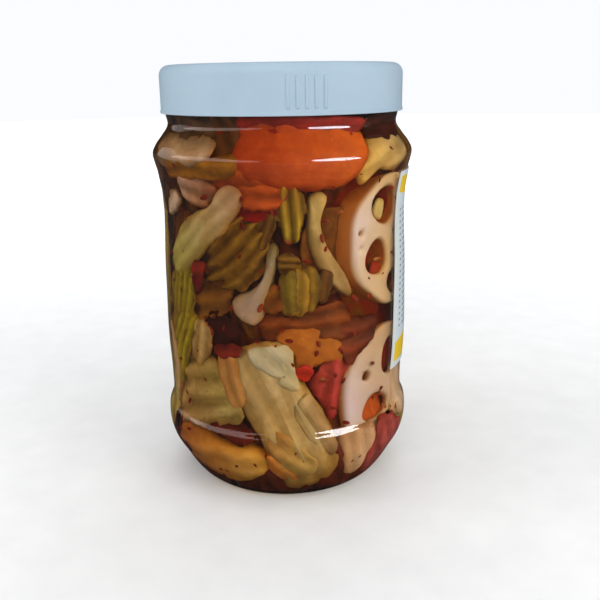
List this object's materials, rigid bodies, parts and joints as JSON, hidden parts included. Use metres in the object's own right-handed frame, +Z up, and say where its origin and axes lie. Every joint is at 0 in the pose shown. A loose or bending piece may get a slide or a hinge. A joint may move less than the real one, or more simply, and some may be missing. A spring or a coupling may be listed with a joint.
{
  "type": "jar of pickled vegetables",
  "caption": "Shut wide-mouthed clear plastic jar with a white ribbed screw lid and a wrap-round label, packed with pickled cabbage, lotus root and carrot in red brine.",
  "frame": {"origin": "middle of the jar's foot, on the surface that it stands on", "axes": "+Z up along the jar's axis; -Y is the front, with the label from the right side round to the back"},
  "size_m": [0.0942, 0.0942, 0.1535],
  "materials": {
    "clear_plastic": "clear glossy moulded plastic",
    "white_plastic": "cool white moulded plastic, satin",
    "label_film": "printed film with yellow bands and plain shapes",
    "pickled_vegetables": "wet vegetables in red-orange brine: cream, orange, olive and dark red"
  },
  "bodies": {
    "root": {"jar": "clear_plastic", "lid": "white_plastic", "label": "label_film", "kimchi_heap": "pickled_vegetables"}
  },
  "joints": []
}
